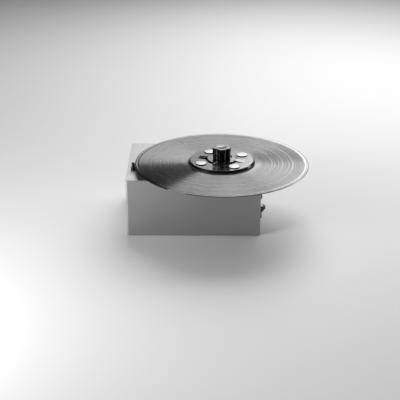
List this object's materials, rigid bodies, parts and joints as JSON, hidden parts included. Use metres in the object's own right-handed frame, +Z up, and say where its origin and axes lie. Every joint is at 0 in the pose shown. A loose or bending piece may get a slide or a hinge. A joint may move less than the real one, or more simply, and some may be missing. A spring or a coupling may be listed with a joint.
{
  "type": "record cleaning machine",
  "caption": "Compact record cleaning machine: aluminium case, geared spindle with a lobed screw clamp on a vinyl record, rocker switches, suction-arm socket, blower, tank and drain valve.",
  "frame": {"origin": "on the floor, under the middle of the bounding box with the record on; the spindle is at x = 6.6 mm, y = 0", "axes": "+X to the machine's right, towards the switches; +Y to its back; +Z up along the spindle"},
  "size_m": [0.3148, 0.3014, 0.143],
  "materials": {
    "aluminium": "satin, finely bead-blasted",
    "panel_steel": "black powder coat",
    "zinc_steel": "zinc plated",
    "black_plastic": "polished black moulding",
    "matte_black": "satin black moulding",
    "rubber": "matte",
    "vinyl": "grooved vinyl",
    "label_paper": "uncoated",
    "chrome": "polished",
    "brass": "turned",
    "steel": "ground",
    "bronze": "sintered",
    "nylon": "moulded",
    "tank_plastic": "translucent natural",
    "board": "solder mask",
    "parts": "moulded",
    "wire": "pvc insulation",
    "glass": "clear"
  },
  "bodies": {
    "machine": {"case_wrap": "aluminium", "top_plate": "aluminium", "base_plate": "panel_steel", "rear_panel": "panel_steel", "corner_pillars": "zinc_steel", "case_fasteners": "zinc_steel", "feet": "rubber", "bearing_housing": "aluminium", "bearing_bushes": "bronze", "thrust_washer": "nylon", "drive_plate": "zinc_steel", "drive_posts": "brass", "drive_screws": "zinc_steel", "drive_motor": "steel", "vacuum_switch": "matte_black", "motor_switch": "matte_black", "mains_inlet": "matte_black", "inlet_pins": "brass", "tank_body": "tank_plastic", "tank_lid": "tank_plastic", "arm_socket": "matte_black", "arm_rest": "black_plastic", "suction_hose": "rubber", "drain_valve": "brass", "blower_mounts": "rubber", "blower_motor": "steel", "blower_housing": "parts", "blower_cover": "parts", "power_board": "board", "board_posts": "nylon", "transformer": "steel", "board_parts": "parts", "wiring": "wire"},
    "turntable": {"spindle_shaft": "steel", "platter": "matte_black", "platter_mat": "rubber", "record": "vinyl", "record_labels": "label_paper", "spindle_gear": "nylon", "gear_circlip": "steel"},
    "clamp": {"clamp_body": "black_plastic", "clamp_seal": "rubber", "clamp_index_pin": "matte_black", "clamp_cap_1": "chrome", "clamp_cap_2": "chrome", "clamp_cap_3": "chrome", "clamp_cap_4": "chrome"},
    "knob": {"clamp_knob": "black_plastic", "clamp_nut": "brass", "clamp_circlip": "steel"},
    "motor_output": {"motor_shaft": "steel", "motor_pinion": "brass"},
    "blower_rotor": {"blower_shaft": "steel", "blower_impeller": "nylon"},
    "vacuum_rocker": {"vacuum_rocker": "black_plastic"},
    "motor_rocker": {"motor_rocker": "black_plastic"},
    "fuse_drawer": {"fuse_drawer": "matte_black", "mains_fuse": "glass"},
    "drain_valve_ball": {"drain_ball": "steel", "drain_lever": "steel"}
  },
  "joints": [
    {"name": "turntable_spin", "type": "hinge", "parent": "machine", "child": "turntable", "pos_m": [0.0066, 0, 0.09], "axis": [0, 0, 1], "continuous": true},
    {"name": "motor_spin", "type": "hinge", "parent": "machine", "child": "motor_output", "pos_m": [-0.0414, 0, 0.05], "axis": [0, 0, 1], "continuous": true},
    {"name": "knob_turn", "type": "hinge", "parent": "clamp", "child": "knob", "pos_m": [0.0066, 0, 0.13], "axis": [0, 0, 1], "range_deg": [0, 4140]},
    {"name": "clamp_lift", "type": "slide", "parent": "turntable", "child": "clamp", "axis": [0, 0, 1], "range_m": [0, 0.023]},
    {"name": "blower_spin", "type": "hinge", "parent": "machine", "child": "blower_rotor", "pos_m": [0.02065, 0.0751, 0.045], "axis": [0, 0, 1], "continuous": true},
    {"name": "vacuum_rock", "type": "hinge", "parent": "machine", "child": "vacuum_rocker", "pos_m": [0.07475, -0.0259, 0.0335], "axis": [0, 1, 0], "range_deg": [-38, 0]},
    {"name": "motor_rock", "type": "hinge", "parent": "machine", "child": "motor_rocker", "pos_m": [0.07475, -0.0259, 0.0706], "axis": [0, 1, 0], "range_deg": [-38, 0]},
    {"name": "fuse_slide", "type": "slide", "parent": "machine", "child": "fuse_drawer", "axis": [0, 1, 0], "range_m": [0, 0.018]},
    {"name": "drain_turn", "type": "hinge", "parent": "machine", "child": "drain_valve_ball", "pos_m": [-0.12735, 0.129, 0.02], "axis": [0, 0, 1], "range_deg": [0, 90]}
  ],
  "couplings": [
    {"joint": "motor_spin", "follows": "turntable_spin", "ratio": -3},
    {"joint": "knob_turn", "follows": "clamp_lift", "rad_per_m": 3141.6}
  ]
}
